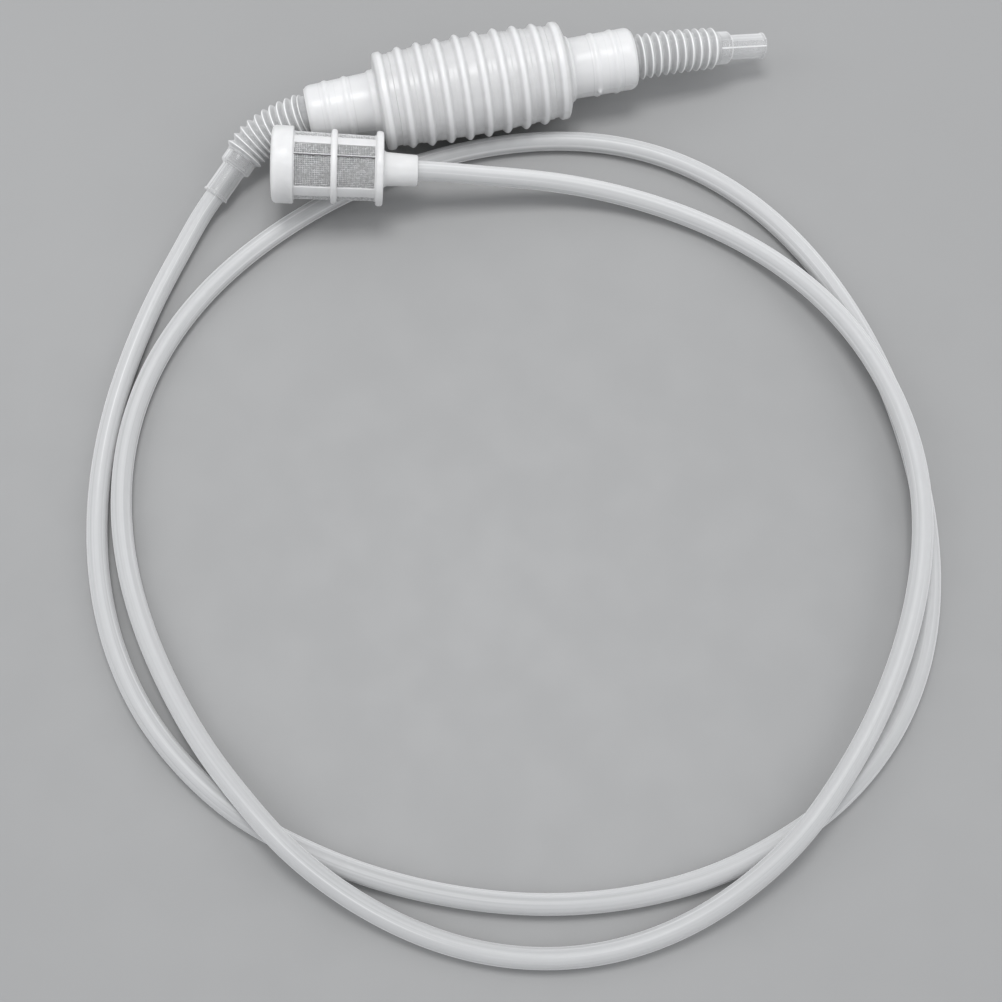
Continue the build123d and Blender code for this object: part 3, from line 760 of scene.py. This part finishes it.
# ------------------------------------------------------------------ end pieces of the flexible tubes
def stub_profile(length, grip):
    """(x, radius): wide collar, narrow tube with a beaded rim, bore widened over 'grip'."""
    return [
        (0, 6.1), (0, 6.6), (0.3, 6.7), (4.6, 6.7), (5.2, 6.2), (5.5, 5.45), (6.1, 5.1),
        (length - 1.3, 5.1), (length - 0.9, 5.4), (length - 0.2, 5.4), (length, 5.15),
        (length, 4.0), (length - grip, 4.0), (length - grip, 3.3), (4.9, 3.3), (4.3, 4.9),
        (3.6, 6.0),
    ]


def stub(name, origin, direction, length, grip, seam, nib=False):
    """'seam' is the angle of one mould line; the other lies opposite. The nib sits on the rim."""
    seams = (seam, seam + math.pi)

    def gap_to(angle, line, radius):
        return abs(math.atan2(math.sin(angle - line), math.cos(angle - line))) * radius

    def shape(x, angle, radius):
        if radius > 5.02:
            for line in seams:
                radius += 0.14 * math.exp(-((gap_to(angle, line, radius) / 0.25) ** 2))
            if nib and x > length - 0.75:
                radius += 0.35 * math.exp(-((gap_to(angle, seam, radius) / 0.5) ** 2))
        return radius

    degrees = [i * 5.0 for i in range(72)]
    for line in seams:
        degrees += [(math.degrees(line) % 360 + off) % 360 for off in (-3.2, -1.6, 0, 1.6, 3.2)]
    degrees = sorted(set(round(d, 3) for d in degrees))
    kept = [degrees[0]]
    for degree in degrees[1:]:
        if degree - kept[-1] > 0.5:
            kept.append(degree)
    profile = resampled(rounded(stub_profile(length, grip), reach=0.3), longest=2.0)
    piece = lathe(name, profile, straight(origin, direction), UP,
                  [math.radians(d) for d in kept], sharp=40, shape=shape, merge=0.0)
    return piece


spout_start, spout_dir = outlet_axis(OUTLET_LEN)
finish_rigid(stub("outlet_spout_tip", spout_start, spout_dir, SPOUT_LEN, SPOUT_GRIP,
                  seam=0.15, nib=True),
             MAT_CLEAR, "spout", "outlet_spout")
finish_rigid(stub("inlet_hose_sleeve", INLET_END, INLET_DIR, SLEEVE_LEN, SLEEVE_GRIP, seam=0.3),
             MAT_CLEAR, "hose_coil", "inlet_stub")


# ------------------------------------------------------------------ hose
def spline_through(points, step):
    """Natural cubic spline through the points by chord length, sampled evenly."""
    points = np.array(points, float)
    knots = chord_lengths(points)
    count, gaps = len(points), np.diff(knots)
    matrix, right = np.zeros((count, count)), np.zeros((count, 3))
    matrix[0, 0] = matrix[-1, -1] = 1.0
    for i in range(1, count - 1):
        before, after = gaps[i - 1], gaps[i]
        matrix[i, i - 1:i + 2] = before, 2 * (before + after), after
        right[i] = 6 * ((points[i + 1] - points[i]) / after - (points[i] - points[i - 1]) / before)
    bend = np.linalg.solve(matrix, right)
    samples = np.linspace(0, knots[-1], int(knots[-1] / step) + 1)
    k = np.clip(np.searchsorted(knots, samples, "right") - 1, 0, count - 2)
    gap = gaps[k][:, None]
    ahead = (knots[k + 1] - samples)[:, None]
    behind = (samples - knots[k])[:, None]
    return ((bend[k] * ahead**3 + bend[k + 1] * behind**3) / (6 * gap)
            + (points[k] / gap - bend[k] * gap / 6) * ahead
            + (points[k + 1] / gap - bend[k + 1] * gap / 6) * behind)


def hose_centre():
    """Centre line with straight ends inside the strainer's socket and the inlet sleeve."""
    start = SOCKET_MOUTH - HOSE_DIR * HOSE_IN_SOCKET
    end = INLET_END + INLET_DIR * (SLEEVE_LEN - HOSE_IN_SLEEVE)
    knots = [start + HOSE_DIR * k for k in (0, 3, 6, 9, 12, 15, 18)]
    knots += [np.array(p, float) for p in HOSE]
    knots += [end + INLET_DIR * k for k in (18.5, 15.5, 12, 9, 6, 3, 0)]
    return spline_through(knots, step=3.2)


def hose():
    points, chamfer = hose_centre(), 0.15
    tangents = np.gradient(points, axis=0)
    tangents /= np.linalg.norm(tangents, axis=1)[:, None]
    distance = chord_lengths(points)
    # the frame is carried along the curve so that it never twists
    across, frames = square_to(UP, tangents[0]), []
    for tangent in tangents:
        across = square_to(across, tangent)
        frames.append((across, np.cross(tangent, across)))
    last = len(points) - 1
    # point number, radius, shift along the hose
    rows = [(0, HOSE_R - chamfer, 0.0), (0, HOSE_R, chamfer)]
    rows += [(i, HOSE_R, 0.0) for i in range(1, last)]
    rows += [(last, HOSE_R, -chamfer), (last, HOSE_R - chamfer, 0.0)]
    rows += [(i, HOSE_BORE_R, 0.0) for i in range(last, -1, -1)]
    angles = ring_angles(36)
    verts, coords = [], []
    for i, radius, shift in rows:
        across, third = frames[i]
        # the wall of an extruded hose isn't perfectly even, but its gripped ends are round
        uneven = 0.0 if i < 6 or i > last - 6 else 0.025 * (1 if radius > 3.5 else 0.6)
        for angle in angles:
            reach = radius + uneven * math.sin(2 * angle + distance[i] * 0.013)
            verts.append(points[i] + tangents[i] * shift
                         + (across * math.cos(angle) + third * math.sin(angle)) * reach)
            coords.append(turned(reach, angle, distance[i]))
    return build("hose_tube", verts, ring_faces(len(rows), len(angles)), coords, sharp=50)


finish_rigid(hose(), MAT_HOSE, "hose_coil", "hose")

# ------------------------------------------------------------------ intake strainer
# (w, radius) of the hose socket and the flange behind the windows
SOCKET = [
    (0.0, 5.7), (0.17, 6.0), (0.6, 6.25), (6.5, 6.52), (12.4, 6.8), (13.2, 7.1), (13.75, 7.6),
    (14.0, 8.4), (14.0, 11.0), (14.0, 13.9), (14.12, 14.4), (14.42, 14.75), (14.95, 14.95),
    (16.05, 14.95), (16.58, 14.75), (16.88, 14.4), (17.0, 13.95),
]
# (w, radius) of the raised ring between the two rows of windows
RING = [(32.55, 14.1), (32.8, 14.55), (33.15, 14.82), (33.55, 14.9), (34.05, 14.9),
        (34.45, 14.82), (34.8, 14.55), (35.05, 14.1)]
# (w, radius) inside, from the windows to the socket's bore
INSIDE = [(16.9, CAGE_BORE), (16.5, 12.4), (16.4, 12.0), (16.4, 3.4), (16.2, 3.1), (12.6, 3.1),
          (12.6, 4.0), (0.4, 4.0), (0.0, 4.25)]
WINDOWS, WINDOW_STEPS = ((17.6, 32.5), (35.1, 49.6)), 8
# start and end in degrees, columns, whether it is a window
SECTORS = ((-37, 42, 28, True), (42, 61, 7, False), (61, 119, 16, True), (119, 138, 7, False),
           (138, 222, 28, True), (222, 241, 7, False), (241, 299, 16, True), (299, 323, 7, False))


def wall_r(w):
    return 13.2 + 0.6 * (w - 17.0) / 39.0


def around(w, radius, degrees):
    angle = math.radians(degrees)
    return SOCKET_MOUTH + W_DIR * w + (FRONT * math.cos(angle) + SQUARE * math.sin(angle)) * radius


def cage():
    levels = [list(np.linspace(low, high, WINDOW_STEPS + 1)) for low, high in WINDOWS]
    first, second = [[(w, wall_r(w)) for w in level] for level in levels]
    lip = [(56.0, 12.9), (55.7, CAGE_BORE)]
    outer = SOCKET + [(17.0, wall_r(17.0))] + first + RING + second
    outer += [(53.0, wall_r(53.0)), (55.7, wall_r(55.7)), (56.0, wall_r(56.0) - 0.3)]
    inner = lip + [(w, CAGE_BORE) for level in levels[::-1] for w in level[::-1]] + INSIDE
    profile = outer + inner
    # first profile row of each window, outside and inside; the inside runs backwards
    out_first = (len(SOCKET) + 1, len(SOCKET) + 1 + len(first) + len(RING))
    in_first = (len(outer) + len(lip) + len(second), len(outer) + len(lip))
    window_rows = {row + step for row in out_first + in_first for step in range(WINDOW_STEPS)}

    degrees, is_open = [], []
    for start, end, columns, window in SECTORS:
        degrees += list(np.linspace(start, end, columns + 1)[:-1])
        is_open += [window] * columns
    count = len(degrees)

    verts = [around(w, radius, d) for w, radius in profile for d in degrees]
    coords = [turned(radius, math.radians(d), w) for w, radius in profile for d in degrees]
    faces = ring_faces(len(profile), count, skip=lambda row, i: row in window_rows and is_open[i])
    for out_row, in_row in zip(out_first, in_first):
        # vertex offsets of the outside and inside rows at each level of the window
        rows = [((out_row + step) * count, (in_row + WINDOW_STEPS - step) * count)
                for step in range(WINDOW_STEPS + 1)]
        for i in range(count):
            i2 = (i + 1) % count
            if is_open[i]:                          # the two ends of the window
                for out, inside in (rows[0], rows[-1]):
                    faces.append((out + i, out + i2, inside + i2, inside + i))
            if is_open[i] != is_open[i - 1]:        # the sides of the ribs
                for (out, inside), (out2, inside2) in zip(rows, rows[1:]):
                    faces.append((out + i, out2 + i, inside2 + i, inside + i))
    piece = build("strainer_cage", verts, faces, coords, sharp=42)
    bevel = piece.modifiers.new("edge_rounding", "BEVEL")
    bevel.width = 0.28 * MM
    bevel.segments = 3
    bevel.limit_method = "ANGLE"
    bevel.angle_limit = math.radians(60)
    bevel.harden_normals = False
    return piece


def cap():
    profile = [
        # skirt
        (50.0, 14.5), (50.0, CAP_R - 0.55), (50.18, CAP_R - 0.18), (50.55, CAP_R), (53.5, CAP_R),
        # crown
        (CAP_END - 2.3, CAP_R), (CAP_END - 1.45, CAP_R - 0.25), (CAP_END - 0.85, CAP_R - 0.95),
        (CAP_END - 0.55, 13.4), (CAP_END - 0.33, 11.0), (CAP_END - 0.16, 8.0),
        (CAP_END - 0.05, 4.5), (CAP_END, 1.5), (CAP_END, 0.0),
        # inside
        (CAP_END - 2.2, 0.0), (CAP_END - 2.2, 6.0), (CAP_END - 2.2, 12.8), (56.1, CAP_BORE),
        (53.0, CAP_BORE), (50.5, CAP_BORE), (50.15, 14.1),
    ]
    return lathe("strainer_cap", profile, straight(SOCKET_MOUTH, W_DIR), FRONT, ring_angles(112),
                 sharp=45)


class Wires:
    """Collects four sided wires, each with one tone."""
    HALF = 0.14

    def __init__(self):
        self.verts, self.coords, self.faces, self.tones = [], [], [], []

    def add(self, points, closed=False, tone=0.5, thick=1.0):
        """A wire through (w, radius, degrees) points."""
        first, count, half = len(self.verts), len(points), self.HALF * thick
        lengthwise = points[0][0] != points[1][0]
        self.tones += [tone] * (4 * count)
        for w, radius, degrees in points:
            for outward, across in ((1, 0), (0, 1), (-1, 0), (0, -1)):
                if lengthwise:
                    corner_w = w
                    corner_deg = degrees + math.degrees(half * across / radius)
                else:
                    corner_w = w + half * across
                    corner_deg = degrees
                reach = radius + half * outward
                self.verts.append(around(corner_w, reach, corner_deg))
                self.coords.append(turned(reach, math.radians(corner_deg), corner_w))
        for i in range(count if closed else count - 1):
            near, far = first + 4 * i, first + 4 * ((i + 1) % count)
            for k in range(4):
                k2 = (k + 1) % 4
                self.faces.append((near + k, near + k2, far + k2, far + k))
        if not closed:
            self.faces.append(tuple(range(first, first + 4)))
            end = first + 4 * (count - 1)
            self.faces.append((end + 3, end + 2, end + 1, end))


def gauze():
    """Plain woven sleeve, its wires passing over and under; a second ply overlaps at the seam."""
    inset, swing, overlap = 0.45, 0.07, 0.25    # the plies lie within the cage wall's thickness
    start, end = 16.75, 55.0
    warps, wefts = 100, 56
    warp_step, weft_step = 360 / warps, (end - start) / wefts
    wires = Wires()

    def ply(lift, low, count, full):
        def level(w):
            return wall_r(w) - inset + lift

        for i in range(count):
            stations = [(k / 2, start + weft_step * (k / 2)) for k in range(2 * wefts + 1)]
            wires.add([(w, level(w) + swing * math.cos(math.pi * (step + i)), low + i * warp_step)
                       for step, w in stations])
        for j in range(wefts):
            w = start + weft_step * j
            wires.add([(w, level(w) - swing * math.cos(math.pi * (k / 2 + j)),
                        low + k * warp_step / 2)
                       for k in range(2 * count if full else 2 * count - 1)], closed=full)

    ply(0.0, low=0.0, count=warps, full=True)
    ply(overlap, low=22.0, count=5, full=False)
    # bonded edge of the overlap, and beside it a dark wire that paints the shade seen through the gap
    wires.add([(w, wall_r(w) - inset + overlap, 21.4) for w in np.linspace(start, end, 60)],
              tone=1.0, thick=1.5)
    wires.add([(w, wall_r(w) - inset + 0.1 + 0.02 * math.sin(2.1 * w),
                19.1 + 0.35 * math.sin(1.3 * w) + 0.25 * math.sin(3.7 * w))
               for w in np.linspace(start, end, 90)], tone=0.0, thick=2.3)
    return build("strainer_gauze", wires.verts, wires.faces, wires.coords, sharp=180,
                 crests=wires.tones)


finish_rigid(cage(), MAT_WHITE, "strainer", "filter_cage")
finish_rigid(cap(), MAT_WHITE, "strainer_cap", "filter_cap")
finish_rigid(gauze(), MAT_GAUZE, "strainer", "filter_mesh")

# ------------------------------------------------------------------ valves keep their CAD meshes
for node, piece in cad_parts.items():
    if "valve" in node:
        mat = MAT_RUBBER if node.endswith("disc") else MAT_VALVE
        if not piece.material_slots:
            piece.data.materials.append(mat)
        for slot in piece.material_slots:
            slot.material = mat

# ------------------------------------------------------------------ floor, light, camera (metres)
scene = bpy.context.scene


def floor_material():
    mat = Nodes("studio_floor")
    coords = mat.object_coords()
    soft = mat.noise(coords, scale=2.0, detail=2)
    base = mat.mix(mat.span(soft, low=0.3, high=0.7), grey(0.325), grey(0.345))
    rough = mat.span(mat.noise(coords, scale=40), low=0.3, high=0.7, out=(0.55, 0.68))
    grain = mat.bump(mat.noise(coords, scale=900), strength=0.05, distance=0.0001)
    mat.principled(Base_Color=base, Roughness=rough, Normal=grain)
    return mat.mat


def floor():
    mesh = bpy.data.meshes.new("floor")
    edit = bmesh.new()
    bmesh.ops.create_grid(edit, x_segments=2, y_segments=2, size=6.0)
    edit.to_mesh(mesh)
    edit.free()
    piece = bpy.data.objects.new("floor", mesh)
    scene.collection.objects.link(piece)
    piece.location = (0, 0, -0.0002)
    mesh.materials.append(floor_material())


def softbox(name, place, target, width, height, power):
    light = bpy.data.lights.new(name, "AREA")
    light.shape = "RECTANGLE"
    light.size = width
    light.size_y = height
    light.energy = power
    lamp = bpy.data.objects.new(name, light)
    scene.collection.objects.link(lamp)
    lamp.location = place
    lamp.rotation_euler = (Vector(target) - Vector(place)).to_track_quat("-Z", "Y").to_euler()


floor()
softbox("overhead_softbox", place=(-0.03, 0.22, 1.05), target=(-0.01, 0.08, 0),
        width=0.42, height=0.34, power=4.9)
for name, x in (("left_softbox", -1.0), ("right_softbox", 1.0)):
    softbox(name, place=(x, 0.1, 0.75), target=(0, 0, 0), width=0.45, height=0.9, power=2.2)

world = bpy.data.worlds.new("studio")
world.use_nodes = True
background = world.node_tree.nodes["Background"]
background.inputs["Color"].default_value = (0.95, 0.97, 1.0, 1)
background.inputs["Strength"].default_value = 0.70
scene.world = world
scene.view_settings.view_transform = "Standard"
scene.view_settings.look = "None"

camera = bpy.data.cameras.new("camera")
camera.sensor_width = 36.0
camera.lens = 53.892216
camera.clip_start, camera.clip_end = 0.01, 50.0
camera_piece = bpy.data.objects.new("camera", camera)
scene.collection.objects.link(camera_piece)
camera_piece.location = (-0.00406, -0.19688, 0.56245)
camera_piece.rotation_euler = (math.radians(18.0), 0.0, 0.0)
scene.camera = camera_piece
scene.cycles.transparent_max_bounces = 40
scene.cycles.max_bounces = 10
